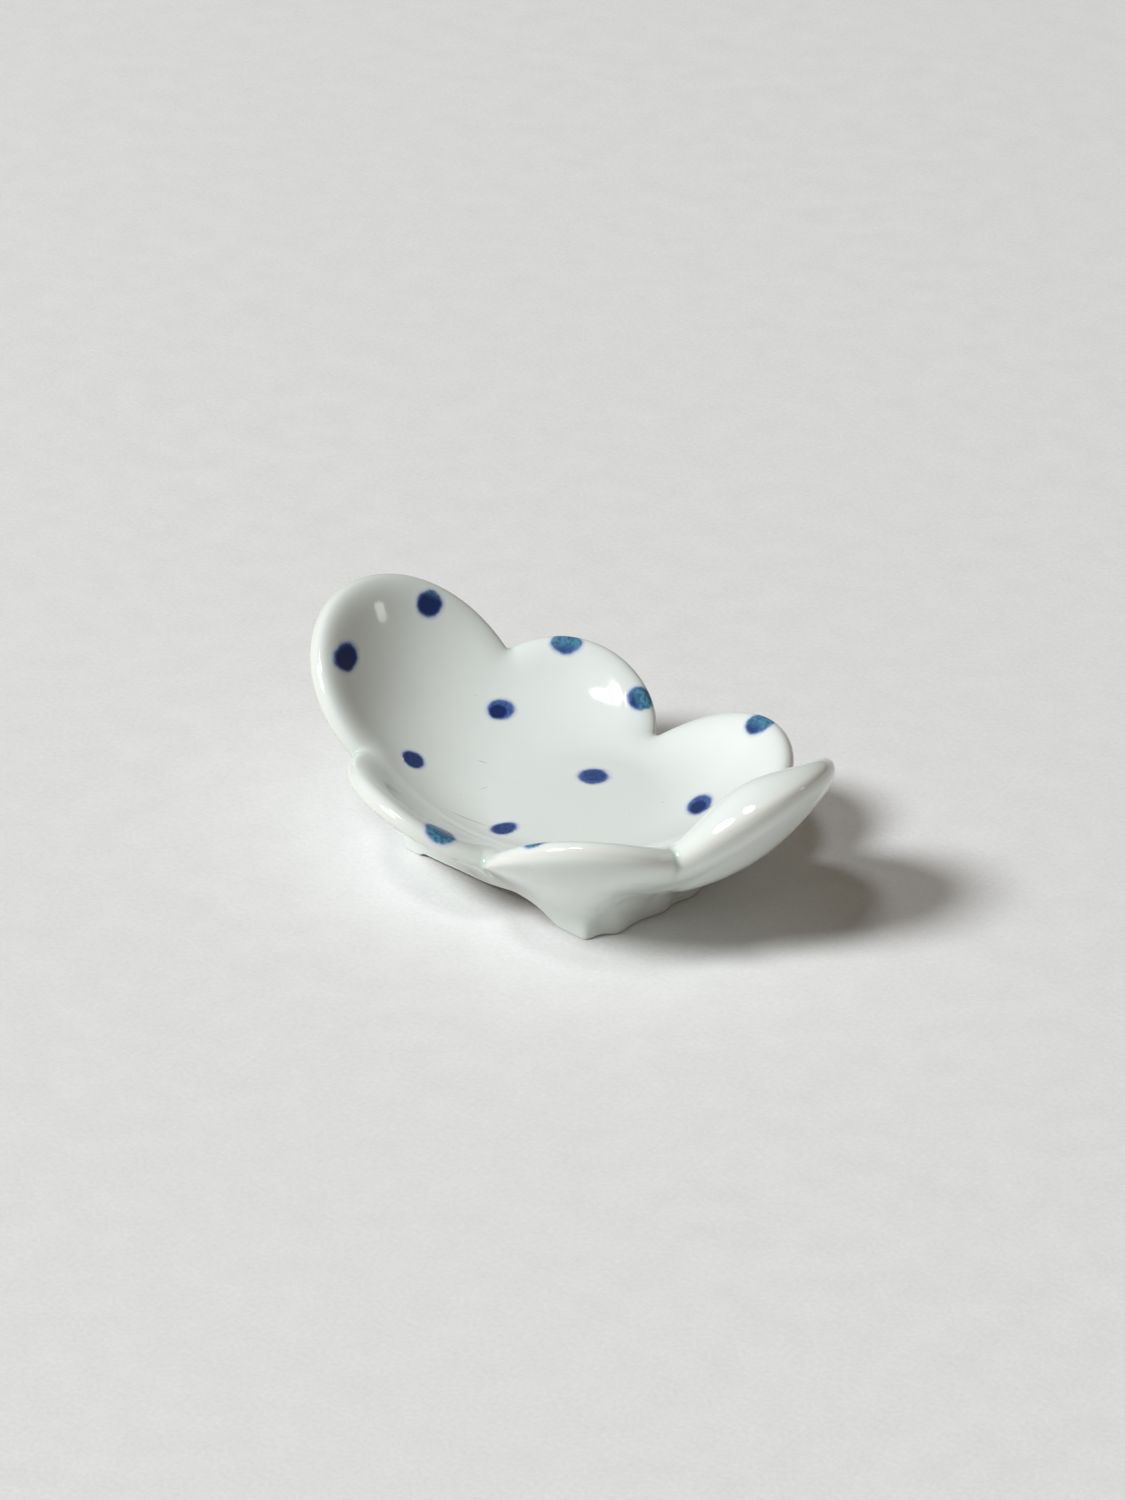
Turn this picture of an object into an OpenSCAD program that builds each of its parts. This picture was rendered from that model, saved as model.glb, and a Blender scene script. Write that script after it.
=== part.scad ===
// Porcelain chopstick rest: a six-petal flower dish with its two end petals curled high,
// on a low arched foot ring, with cobalt dots brushed on the petals.
// Millimetres. The origin is the middle of the standing face, +X runs to one end petal, +Z is up.

/* [Petals] */
// Middle of the rest to the centre of each end petal, before curling
end_petal_x = 22.2; // [18:0.1:27]
// Radius of the two end petals
end_petal_r = 10.9; // [9:0.1:13.2]
// Lengthwise distance to the centre of each of the four side petals, before curling
side_petal_x = 9; // [7.5:0.1:10.8]
// Crosswise distance to the centre of each side petal, before curling
side_petal_y = 9.4; // [7.8:0.1:11.4]
// Radius of the four side petals
side_petal_r = 9; // [7.5:0.1:10.8]
// Radius of the disc that fills the waist, between the two notches where the chopsticks lie
waist = 13.1; // [11:0.1:14.5]
// Share of the hand-cut irregularity that is kept, 0 for a regular flower
hand_cut = 1; // [0:0.1:1.2]

/* [Curl] */
// Radius to which the end petals curl up
end_curl_r = 20.4; // [16.5:0.1:26]
// Radius to which the sides curl up
side_curl_r = 13.4; // [10.5:0.1:17]
// Half length of the flat floor, where the curl to the ends begins
floor_half_length = 7.6; // [6.3:0.1:9.5]
// Half width of the flat floor, where the curl to the sides begins
floor_half_width = 8.1; // [6.5:0.1:9]

/* [Wall] */
// Thickness of the petals and of their round rim
wall = 3; // [2.2:0.1:3.6]
// How much fuller the outside grows under the ends
belly = 0.9; // [0.3:0.1:1.6]
// The same towards the four corners of the foot
corner_belly = 0.1; // [0:0.1:0.6]
// Thickness of the floor, from the inside down to the seat of the foot
floor_thickness = 2.7; // [2.2:0.1:4]
// How many times thicker the inside of the right end petal grows at its front
right_swell = 2; // [0:0.1:2.4]

/* [Foot] */
// Height of the foot ring
foot_height = 3.2; // [2.4:0.1:5]
// Half length of the foot ring, at its ends
foot_half_length = 13.8; // [11.5:0.1:16.6]
// Half width of the foot ring, along its straight sides
foot_half_width = 10.6; // [8.8:0.1:12]
// How far the four corners of the foot ring are set back from its ends
foot_corner_set = 1.8; // [1.2:0.1:3]
// How far the ridge between each corner and the end is set back
foot_ridge_set = 0.4; // [0.2:0.1:0.8]
// How far that ridge is set in from the straight side
foot_ridge_in = 3; // [2:0.1:4]
// Half width of the facet at each end of the foot ring
foot_facet = 1.9; // [1:0.1:3]
// Depth of the flutes between the ridges
flute = 0.4; // [0:0.1:0.8]
// Width of the standing rim of the foot ring
foot_wall = 2.4; // [1.6:0.1:3.5]
// How far the foot ring is set on askew, in degrees
foot_turn = -7; // [-8:0.5:8]
// Width of the arch cut through each long side, on the ground
arch_width = 18.8; // [10:0.2:21]
// Height of the arch
arch_height = 2; // [0.8:0.1:2.4]

/* [Dots] */
// Diameter of a cobalt dot
dot_diameter = 2.8; // [1.8:0.1:3.4]
// How deep a dot is let into the body
dot_depth = 0.35; // [0.25:0.05:0.6]
// How far a dot stands proud
dot_proud = 0.15; // [0.12:0.01:0.3]

/* [Hidden] */
half = wall / 2;
seat_z = foot_height;
// height of the middle of the wall at the floor
floor_z = seat_z + floor_thickness - half;
degrees = 180 / PI;
// direction of the thickest place of the right end, and how far it spreads, in degrees
swell_at = -10;
swell_width = 14;

// steps round one petal, along the inside, over the rim, down the outside, the flare and the foot
petal_steps = 22;
inside_steps = 14;
rim_steps = 6;
outside_steps = 5;
flare_steps = 5;
foot_steps = 5;
// share of the way from foot to rim at which the flare leaves the underside, at the ends
flare_share = 0.22;
// how round the wall at the sides leaves the rim, and how much it draws in above the ground
waist_round = 1.2;
corner_round = 1.6;
waist_hollow = 1.7;
corner_hollow = 1.8;
// least height of the underside above the seat, where the notches come low
ledge = 0.4;
// least distance of the foot inside the flower's outline
foot_inset = 0.6;
dot_sides = 20;
dot_rings = 2;
// room cut free above each dot
dot_room = 0.6;

// the six petals from the +X end, anticlockwise: centre and radius in the flat slab
regular = [
    [end_petal_x, 0, end_petal_r],
    [side_petal_x, side_petal_y, side_petal_r],
    [-side_petal_x, side_petal_y, side_petal_r],
    [-end_petal_x, 0, end_petal_r],
    [-side_petal_x, -side_petal_y, side_petal_r],
    [side_petal_x, -side_petal_y, side_petal_r]
];
// how the knife strayed at each petal
stray = [
    [-0.7, -0.3, -1.4],
    [-0.7, -0.4, -0.3],
    [-0.6, 0.8, -0.7],
    [0.6, 0.9, 0.4],
    [0.7, 0.4, -0.2],
    [2.6, -2.2, -0.5]
];
petals = regular + hand_cut * stray;
// the disc that fills the waist, which the knife left wider at the front
waist_disc = [0, -0.2 * hand_cut, waist];
// how far the arches are off the middle
arch_shift = -0.8 * hand_cut;

// each dot: its name, its direction from the middle, and how far out as a share of the petal there
dots = [
    ["dot_left_end_back", 162, 0.97],
    ["dot_left_end_front", 192, 0.935],
    ["dot_left_floor_back", 154, 0.605],
    ["dot_left_floor_front", 202, 0.625],
    ["dot_middle_back", 101, 0.3],
    ["dot_middle_front", 258, 0.49],
    ["dot_right_floor_back", 27, 0.66],
    ["dot_right_floor_front", 329, 0.6],
    ["dot_right_end_back", 16, 0.86],
    ["dot_right_end_front", 344, 0.86],
    ["dot_rim_back_left", 129, 1.04],
    ["dot_rim_back_middle", 103, 1.08],
    ["dot_rim_back_right", 58, 1.055],
    ["dot_rim_front_left", 258, 1.03],
    ["dot_rim_front_right", 295, 1.03]
];

// the notch between petal i and the next one, anticlockwise
function notch(i) =
    let(
        a = petals[i],
        b = petals[(i + 1) % 6],
        gap = [b[0] - a[0], b[1] - a[1]],
        d = norm(gap),
        u = gap / d,
        along = (a[2] * a[2] - b[2] * b[2] + d * d) / (2 * d),
        out = sqrt(max(a[2] * a[2] - along * along, 0))
    )
    [a[0] + along * u[0] + out * u[1], a[1] + along * u[1] - out * u[0]];

// directions of the notches, rising from the first one past +X
function notch_angle(i) =
    let(p = notch(i), t = atan2(p[1], p[0]))
    t < 0 ? t + 360 : t;

// how far petal p, grown by g, reaches along direction t
function reach(p, g, t) =
    let(
        b = p[0] * cos(t) + p[1] * sin(t),
        c = b * b - p[0] * p[0] - p[1] * p[1] + pow(p[2] + g, 2)
    )
    c < 0 ? 0 : b + sqrt(c);

// where direction d meets the line from a to b: distance from the middle, and share of the line
function crossing(a, b, d) =
    let(g = b - a, k = d[0] * g[1] - d[1] * g[0])
    [(a[0] * g[1] - a[1] * g[0]) / k, (a[0] * d[1] - a[1] * d[0]) / k];

// how far the webs between the centres of neighbouring petals reach along direction t
function web(t) = max([
    for (i = [0 : 5])
        let(c = crossing(petals[i], petals[(i + 1) % 6], [cos(t), sin(t)]))
        c[1] >= 0 && c[1] <= 1 ? c[0] : 0
]);

// outline of the flower, with the petals, the webs and the waist grown by g
function outline(t, g = 0) =
    max(web(t) + g, reach(waist_disc, g, t), max([for (p = petals) reach(p, g, t)]));

// every direction at which the solids are drawn, with the notches among them
rays = [
    for (i = [0 : 5])
        let(
            from = i == 0 ? notch_angle(5) - 360 : notch_angle(i - 1),
            to = notch_angle(i)
        )
        for (k = [0 : petal_steps - 1]) from + (to - from) * k / petal_steps
];
ray_count = len(rays);

// how tightly the slab is curled along direction t, and where the curl begins
function bend(t) = pow(cos(t), 2) / end_curl_r + pow(sin(t), 2) / side_curl_r;
function flat_to(t) = floor_half_length * pow(cos(t), 2) + floor_half_width * pow(sin(t), 2);

// slope of the wall at distance r, in degrees
function slope(t, r) = max(r - flat_to(t), 0) * bend(t) * degrees;

// share by which the inside is thicker towards the rim at the front of the right end
function swelling(t, r) =
    let(off = (t - swell_at + 540) % 360 - 180)
    right_swell * exp(-pow(off / swell_width, 2)) * ease(12, 27, r);

// the wall's point at distance r along direction t, off its middle by h towards the inside
function wall_point(t, r, h) =
    let(
        a = slope(t, r),
        off = h > 0 ? h * (1 + swelling(t, r)) : h
    )
    [
        min(r, flat_to(t)) + sin(a) / bend(t) - off * sin(a),
        floor_z + (1 - cos(a)) / bend(t) + off * cos(a)
    ];

// the round rim at angle w from the inside, off the middle of the wall by h
function rim_point(t, w, h) = wall_point(t, outline(t, h * sin(w)), h * cos(w));

// one quarter of the standing outline, from the end facet round to the straight side
foot_ridges = [
    [foot_half_length, -foot_facet],
    [foot_half_length, foot_facet],
    [foot_half_length - foot_ridge_set, foot_half_width - foot_ridge_in],
    [foot_half_length - foot_corner_set, foot_half_width],
    [0, foot_half_width]
];

// standing outline, fluted between its ridges and straight along its sides
function foot_outline(t) =
    let(
        d = [abs(cos(t - foot_turn)), abs(sin(t - foot_turn))],
        hits = [for (i = [0 : 3]) crossing(foot_ridges[i], foot_ridges[i + 1], d)],
        fluted = [for (i = [0 : 2]) hits[i][0] - flute * pow(sin(180 * min(max(hits[i][1], 0), 1)), 2)]
    )
    hits[0][1] <= 1 ? fluted[0] :
    hits[1][1] <= 1 ? fluted[1] :
    hits[2][1] <= 1 ? fluted[2] :
    hits[3][0];

// the same, kept under the flower
function foot_reach(t) = min(foot_outline(t), outline(t) - foot_inset);

// how much thicker the outside is along direction t, full at the ends, less at the corners
function fullness(t) = corner_belly + (belly - corner_belly) * pow(cos(2 * (t - foot_turn)), 2);

// 0 up to low, 1 from high on, smooth between them
function ease(low, high, v) = let(x = min(max((v - low) / (high - low), 0), 1)) x * x * (3 - 2 * x);

// 1 along the sides of the foot, 0 at its two ends
function aside(t) = ease(0.55, 0.67, abs(sin(t - foot_turn)));

// where the flare leaves the underside at the ends
function flare_from(t) = let(f = foot_reach(t)) f + flare_share * (outline(t) - f);

// underside at share u of the way from the rim to the flare
function under_point(t, u) =
    let(
        r = outline(t),
        below = flare_from(t),
        thick = half + fullness(t) * ease(1, 8, r - below) * u * u * (3 - 2 * u),
        p = wall_point(t, r + (below - r) * u, -thick)
    )
    [p[0], max(p[1], seat_z + ledge)];

// the flare at height z, tangent to the underside above and upright on the ground
function flare_point(t, z) =
    let(
        r = foot_reach(t),
        top = under_point(t, 1),
        w = z / top[1],
        m = min(top[1] / tan(slope(t, flare_from(t))) / (top[0] - r), 3)
    )
    [r + (top[0] - r) * w * w * (3 - m + (m - 2) * w), z];

// widest point of the rim
function widest(t) = rim_point(t, min(90 + slope(t, outline(t)), 180), half);

// the wall at the sides, in one sweep from the widest line of the rim to the ground
function sweep(t, z) =
    let(
        rim = widest(t),
        r = foot_reach(t),
        corner = ease(7, 13, rim[1]),
        round_off = waist_round + (corner_round - waist_round) * corner,
        hollow = waist_hollow + (corner_hollow - waist_hollow) * corner
    )
    r + (rim[0] - r) * pow(1 - pow(1 - min(z / rim[1], 1), round_off), hollow);

// point p of the outside, moved out to that sweep as far as its direction is a side
function swept(t, p) =
    p[1] < widest(t)[1] ? [p[0] + aside(t) * (sweep(t, p[1]) - p[0]), p[1]] : p;

// the outside at step i from the rim down to the seat
function down_point(t, i) =
    let(
        steps = outside_steps + flare_steps,
        start = under_point(t, 0)[1],
        top = under_point(t, 1)[1],
        p = i <= outside_steps ? under_point(t, i / outside_steps) :
            flare_point(t, top + (seat_z - top) * (i - outside_steps) / flare_steps),
        z = p[1] + aside(t) * (start + (seat_z - start) * i / steps - p[1])
    )
    swept(t, [p[0], z]);

// section of the dish along direction t, from the inside out and down to the seat
function section(t) =
    let(r = outline(t))
    concat(
        [for (i = [1 : inside_steps]) wall_point(t, r * i / inside_steps, half)],
        [
            for (i = [1 : rim_steps])
                let(p = rim_point(t, 180 * i / rim_steps, half))
                2 * i > rim_steps ? swept(t, p) : p
        ],
        [for (i = [1 : outside_steps + flare_steps]) down_point(t, i)]
    );

// section of the foot ring along direction t, down its outside and back up its inside
function foot_section(t) =
    let(inside = foot_reach(t) - foot_wall)
    concat(
        [for (i = [0 : foot_steps]) swept(t, flare_point(t, seat_z * (1 - i / foot_steps)))],
        [[inside, 0], [inside, seat_z]]
    );

function turned(t, p) = [p[0] * cos(t), p[0] * sin(t), p[1]];

// the two triangles between neighbouring points of two rings
function patch(a, b, c, d) = [[a, b, c], [b, d, c]];

// rings of points joined into one closed skin, with a middle point at each end
function skin_faces(rings, count) =
    let(last = rings * count + 1)
    concat(
        [for (k = [0 : count - 1]) [0, 1 + (k + 1) % count, 1 + k]],
        [
            for (i = [0 : rings - 2])
                for (k = [0 : count - 1])
                    let(
                        a = 1 + i * count + k,
                        b = 1 + i * count + (k + 1) % count
                    )
                    each patch(a, b, a + count, b + count)
        ],
        [for (k = [0 : count - 1]) [last, last - count + k, last - count + (k + 1) % count]]
    );

// rings of points joined round and round into one closed ring
function ring_faces(rings, count) = [
    for (i = [0 : rings - 1])
        for (k = [0 : count - 1])
            let(
                a = i * count + k,
                b = i * count + (k + 1) % count,
                next = (i + 1) % rings * count
            )
            each patch(a, b, next + k, next + (k + 1) % count)
];

module dish_blank() {
    sections = [for (t = rays) section(t)];
    rings = len(sections[0]);
    points = concat(
        [[0, 0, floor_z + half]],
        [for (i = [0 : rings - 1]) for (k = [0 : ray_count - 1]) turned(rays[k], sections[k][i])],
        [[0, 0, seat_z]]
    );
    polyhedron(points = points, faces = skin_faces(rings, ray_count), convexity = 6);
}

// point p of the flat slab, curled up and off the middle of the wall by h
function curled(p, h) = let(t = atan2(p[1], p[0])) turned(t, wall_point(t, norm(p), h));

// point p of the skin laid flat: past the outline it runs over the rim and down the outside
function skin_point(p, h) =
    let(
        past = [for (q = petals) norm([p[0] - q[0], p[1] - q[1]]) - q[2]],
        g = min(past),
        q = petals[search(g, past)[0]],
        middle = [q[0], q[1]],
        n = (p - middle) / norm(p - middle),
        w = g / half * degrees
    )
    norm(p) <= outline(atan2(p[1], p[0])) ? curled(p, h) :
    w < 180 ? curled(middle + n * (q[2] + h * sin(w)), h * cos(w)) :
    curled(middle + n * (q[2] + PI * half - g), -h);

// point of dot d at angle w and distance q from its middle, off the middle of the wall by h
function dot_point(d, q, w, h) =
    let(
        out = [cos(d[1]), sin(d[1])],
        side = [-out[1], out[0]],
        s = d[2] * outline(d[1]),
        across = s / wall_point(d[1], min(s, outline(d[1])), 0)[0]
    )
    skin_point(out * (s + q * cos(w)) + side * q * sin(w) * across, h);

// one ring of dot d
function dot_ring(d, q, h) = [for (k = [0 : dot_sides - 1]) dot_point(d, q, 360 * k / dot_sides, h)];

// dot d, or its pocket with room above it
module dot_blank(d, room) {
    top = half + dot_proud;
    low = half - dot_depth;
    step = dot_diameter / 2 / dot_rings;
    points = concat(
        [dot_point(d, 0, 0, top + room)],
        [for (j = [1 : dot_rings]) each dot_ring(d, step * j, top + room)],
        room > 0 ? dot_ring(d, step * dot_rings, top) : [],
        [for (j = [dot_rings : -1 : 1]) each dot_ring(d, step * j, low)],
        [dot_point(d, 0, 0, low)]
    );
    rings = 2 * dot_rings + (room > 0 ? 1 : 0);
    polyhedron(points = points, faces = skin_faces(rings, dot_sides), convexity = 3);
}

module dot(d) {
    color("#2c4689") dot_blank(d, 0);
}

module dish() {
    color("#e4e9e6") difference() {
        dish_blank();
        for (d = dots) dot_blank(d, dot_room);
    }
}

module foot_blank() {
    sections = [for (t = rays) foot_section(t)];
    rings = len(sections[0]);
    points = [for (i = [0 : rings - 1]) for (k = [0 : ray_count - 1]) turned(rays[k], sections[k][i])];
    polyhedron(points = points, faces = ring_faces(rings, ray_count), convexity = 6);
}

module foot_ring() {
    arch_r = (arch_width * arch_width / 4 + arch_height * arch_height) / (2 * arch_height);
    color("#dcdfd8") difference() {
        foot_blank();
        rotate([0, 0, foot_turn]) translate([arch_shift, 0, arch_height - arch_r]) rotate([90, 0, 0])
            cylinder(h = 4 * foot_half_width, r = arch_r, center = true, $fn = 180);
    }
}

dish();
foot_ring();
for (d = dots) dot(d);
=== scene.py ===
import math
from functools import lru_cache
from itertools import combinations

import bmesh
import bpy
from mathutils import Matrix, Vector


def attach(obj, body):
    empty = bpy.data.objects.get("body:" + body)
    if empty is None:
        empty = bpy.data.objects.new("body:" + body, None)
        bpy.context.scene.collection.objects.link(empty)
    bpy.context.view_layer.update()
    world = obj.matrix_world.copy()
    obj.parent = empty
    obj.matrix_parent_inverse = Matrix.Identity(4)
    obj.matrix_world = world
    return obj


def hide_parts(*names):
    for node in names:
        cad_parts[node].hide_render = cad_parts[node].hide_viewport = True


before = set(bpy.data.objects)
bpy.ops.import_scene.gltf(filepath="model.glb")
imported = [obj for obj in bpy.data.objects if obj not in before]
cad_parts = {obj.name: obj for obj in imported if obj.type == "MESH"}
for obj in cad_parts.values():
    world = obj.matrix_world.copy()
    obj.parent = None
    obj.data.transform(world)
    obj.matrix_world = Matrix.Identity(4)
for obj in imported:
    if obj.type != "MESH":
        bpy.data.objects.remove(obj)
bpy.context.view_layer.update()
mm = 0.001
hair = 1e-6  # room for rounding, in mm
mergeRoom = 1e-7  # points closer than this are one, in metres
print("frame loaded:", len(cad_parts), "nodes")

# the slab, cut to a flower and curled up; all sizes in mm
flower = {
    # centre and radius of each petal in the flat slab, from the +X end, anticlockwise
    "petals": [
        (21.5, -0.3, 9.5),
        (8.3, 9.0, 8.7),
        (-9.6, 10.2, 8.3),
        (-21.6, 0.9, 11.3),
        (-7.9, -9.1, 9.3),
        (11.2, -11.3, 9.0),
    ],
    "waist": (0.0, -0.2, 13.1),  # disc that fills the two middle notches
    "notchFill": 0.8,  # how far a notch is rounded out for the foot, the flare and the dots
    "endCurl": 20.4,  # radius to which the ends curl up
    "sideCurl": 13.4,
    "floorLength": 7.6,  # half length of the flat floor
    "floorWidth": 8.1,
    "floorMiddle": 4.4,  # height of the middle of the wall at the floor
    "half": 1.5,  # half the wall
    "swell": 1.5,  # how many half walls the right end petal is thickened inside, at its front
    "swellAt": -10,  # direction and width in degrees
    "swellWidth": 14,
    "swellGrows": (12, 27),  # distances from the middle between which it grows
    "rimFull": 0.87,  # under 1 makes the rim blunter than an ellipse
    "rimInside": 2.0,  # how far past the outline the rim is rounded down the inside
    "rimOutside": 1.7,
    "fillet": 0.45,  # radius of the notches
    "belly": 0.9,  # how much fuller the underside grows at the ends
    "cornerBelly": 0.1,
    "bellyGrows": (1, 8),  # lengths of the underside between which it grows
    "leastUnder": 0.1,  # shortest underside that is left
    "flare": 0.22,  # share of the way from foot to rim where the flare begins at the ends
    "flareSlope": 0.05,  # least slope and strongest pull with which the flare leaves the underside
    "flarePull": 3,
    "ledge": 0.4,  # least height of the underside over the foot
    "raysPerPetal": 96,
    "notchCrowding": 0.8,  # how much closer the rays stand at the notches
    "insideRings": 40,
    "rimRings": 28,
    "outsideRings": 14,
    "flareRings": 18,
    "seatRings": 3,
    "rimSteps": 60,  # steps in which the section of the rim is measured
    "sharpOver": 40,  # degrees
}

# the ring that it stands on; all sizes in mm
foot = {
    "height": 3.2,
    "halfLength": 13.8,
    "halfWidth": 10.6,
    "cornerSet": 1.8,
    "ridgeSet": 0.4,
    "ridgeIn": 3.0,
    "facet": 1.9,
    "flute": 0.4,
    "ridgeSoft": 1.6,  # degrees over which a ridge is rounded at the ground, and further up
    "ridgeFade": 10.0,
    "ridgeHeight": 4,  # where that is reached
    "softTurns": 3,  # directions to each side that the rounding takes in
    "sideFrom": 0.57,  # sines of the directions between which its ends turn into its sides
    "sideFull": 0.67,
    "sideSpread": 0.3,  # how much sooner that begins further up, and between which heights
    "sideHeights": (1.5, 7),
    "wall": 2.4,
    "turn": math.radians(-7),  # it was set on a little askew
    "inset": 0.6,
    "archWidth": 18.8,
    "archLow": 0.5,  # it was cut low at the left and rises to the right
    "archRise": 4.0,
    "archBend": 2.2,  # power of the rise
    "archStep": 0.07,  # shares of its width where the step at the left ends and the run out begins
    "archRunOut": 0.75,
    "archShift": -0.8,
    "skirtRound": (1.05, 1.6),  # how round the wall leaves the rim, at the waist and at the corners
    "skirtHollow": (1.45, 1.8, 2.3),  # how much it draws in at the waist, the right and the left corners
    "cornerHeights": (7, 13),  # heights of the rim at the waist and at the corners
    "leftFrom": 0.6,  # cosine at which the left corners are reached
    "notchFade": 10,  # degrees over which a notch has spread at the ground
    "notchKept": 0.6,  # share of the height above which it sharpens again
    "edge": 0.3,  # rounding of the standing rim
    "wallRings": 14,
    "edgeRings": 4,
    "innerRings": 5,
    "archRounds": 4,  # times that a point is lifted and moved until it lies on the arch
    "sharpOver": 50,  # degrees
}


def smooth(low, high, value):
    x = min(max((value - low) / (high - low), 0), 1)
    return x * x * (3 - 2 * x)


# angle between two directions
def apart(a, b):
    return abs((a - b + math.pi) % math.tau - math.pi)


# how far a disc, grown a little, reaches from the middle in direction t
def petalReach(petal, grow, t):
    x, y, r = petal
    along = x * math.cos(t) + y * math.sin(t)
    under = along * along - x * x - y * y + (r + grow) ** 2
    return along + math.sqrt(under) if under > 0 else 0.0


@lru_cache(None)
def outline(t):
    second, first = sorted(petalReach(p, 0, t) for p in flower["petals"] + [flower["waist"]])[-2:]
    fill = flower["notchFill"]
    near = max(fill - (first - second), 0) / fill
    return first + near * near * fill / 4


petalCount = len(flower["petals"])
# petals, and then the waist, grown to the outermost line of the rim and a fillet more
grown = [(x, y, r + flower["half"] + flower["fillet"]) for x, y, r in flower["petals"] + [flower["waist"]]]


# the two points where one disc crosses another
def crossings(a, b):
    dx, dy = b[0] - a[0], b[1] - a[1]
    d = math.hypot(dx, dy)
    along = (a[2] ** 2 - b[2] ** 2 + d * d) / (2 * d)
    out = math.sqrt(max(a[2] ** 2 - along * along, 0))
    return [
        (a[0] + (along * dx - side * dy) / d, a[1] + (along * dy + side * dx) / d)
        for side in (-out, out)
    ]


# direction of the notch after petal i
def notchAngle(i):
    x, y = crossings(grown[i], grown[(i + 1) % petalCount])[0]
    return math.atan2(y, x) % math.tau


notches = [notchAngle(i) for i in range(petalCount)]


# direction of ray k: every petal has as many rays, crowded at its notches
def rayAngle(k):
    i, step = divmod(k, flower["raysPerPetal"])
    start = notches[i - 1] - (math.tau if i == 0 else 0)
    share = step / flower["raysPerPetal"]
    share -= flower["notchCrowding"] * math.sin(math.tau * share) / math.tau
    return start + (notches[i] - start) * share


# how the slab is curled along direction t: its bend, where the bend begins, and the slope at r
def bend(t):
    return math.cos(t) ** 2 / flower["endCurl"] + math.sin(t) ** 2 / flower["sideCurl"]


def flatTo(t):
    return flower["floorLength"] * math.cos(t) ** 2 + flower["floorWidth"] * math.sin(t) ** 2


def slope(t, r):
    return max(r - flatTo(t), 0) * bend(t)


# share by which the clay is thicker towards the rim at the front of the right end
def swelling(t, r):
    off = ((math.degrees(t) - flower["swellAt"] + 180) % 360 - 180) / flower["swellWidth"]
    return flower["swell"] * math.exp(-off ** 2) * smooth(*flower["swellGrows"], r)


# the curled wall at distance r along the slab, off its middle by h: distance out and height
def wallPoint(t, r, h):
    a, k, flat = slope(t, r), bend(t), flatTo(t)
    if h > 0:  # only the inside swells, and what lies on it is carried along
        h += min(h, flower["half"]) * swelling(t, r)
    out = min(r, flat) + math.sin(a) / k - h * math.sin(a)
    return out, flower["floorMiddle"] + (1 - math.cos(a)) / k + h * math.cos(a)


# section of the rim, a half turn from inside to outside:
# depth in from its outermost line, and offset from the middle of the wall
def rimShape(w):
    half, full = flower["half"], flower["rimFull"]
    down = flower["rimInside"] if w < math.pi / 2 else flower["rimOutside"]
    s, c = max(math.sin(w), 0), math.cos(w)
    return (half + down) * (1 - s ** full), math.copysign(half * abs(c) ** full, c)


# whether a point lies outside all the grown discs but its own
def uncovered(px, py, own):
    return all(d in own or math.hypot(px - d[0], py - d[1]) > d[2] - hair for d in grown)


corners = [c for a, b in combinations(grown, 2) for c in crossings(a, b) if uncovered(*c, (a, b))]


# how far the slab reaches at a depth in from the outermost line of the rim, round every notch
@lru_cache(None)
def rimReach(t, depth):
    c, s = math.cos(t), math.sin(t)
    depth += flower["fillet"]
    ends = []
    for disc in grown:
        x, y, r = disc
        far = petalReach(disc, -depth, t)
        wider = r / (r - depth)
        if far and uncovered(x + (far * c - x) * wider, y + (far * s - y) * wider, (disc,)):
            ends.append(far)
    for x, y in corners:
        along = x * c + y * s
        under = along * along - x * x - y * y + depth * depth
        if along > 0 and under > 0:
            ends.append(along - math.sqrt(under))
    return min(ends)


# widest point of the rim: distance out and height
@lru_cache(None)
def rimWidest(t):
    count = flower["rimSteps"]
    section = [rimShape(math.pi * (0.5 + i / count)) for i in range(count // 2 + 1)]
    return max(wallPoint(t, rimReach(t, depth), h) for depth, h in section)


# standing outline of the foot: straight sides, fluted ends
@lru_cache(None)
def footOutline(t):
    c, s = abs(math.cos(t - foot["turn"])), abs(math.sin(t - foot["turn"]))
    ridges = [
        (foot["halfLength"], -foot["facet"]),
        (foot["halfLength"], foot["facet"]),
        (foot["halfLength"] - foot["ridgeSet"], foot["halfWidth"] - foot["ridgeIn"]),
        (foot["halfLength"] - foot["cornerSet"], foot["halfWidth"]),
        (0.0, foot["halfWidth"]),
    ]
    for (ax, ay), (bx, by) in zip(ridges, ridges[1:]):
        gx, gy = bx - ax, by - ay
        cross = c * gy - s * gx
        reach = (ax * gy - ay * gx) / cross
        share = (ax * s - ay * c) / cross
        if bx == 0:  # the long side has no flute
            return reach
        if share <= 1:
            return reach - foot["flute"] * math.sin(math.pi * min(max(share, 0), 1)) ** 2


# the same with its ridges rounded over some degrees, and kept within the dish
@lru_cache(None)
def footReach(t, soft):
    count = foot["softTurns"]
    around = [footOutline(t + math.radians(soft * i / count)) for i in range(-count, count + 1)]
    return min(sum(around) / len(around), outline(t) - foot["inset"])


# 1 along the sides of the foot, 0 at its two ends; higher up the change is slower
@lru_cache(None)
def asideOf(t, z):
    sooner = foot["sideSpread"] * smooth(*foot["sideHeights"], z)
    return smooth(foot["sideFrom"] - sooner, foot["sideFull"], abs(math.sin(t - foot["turn"])))


# outline of the foot, its ridges fading upwards
@lru_cache(None)
def ridgeReach(t, z):
    r = footReach(t, foot["ridgeSoft"])
    return r + (footReach(t, foot["ridgeFade"]) - r) * smooth(0, foot["ridgeHeight"], z)


# distance along the slab where the flare begins
@lru_cache(None)
def flareFrom(t):
    f = footReach(t, foot["ridgeSoft"])
    return f + flower["flare"] * (outline(t) - f)


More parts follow.
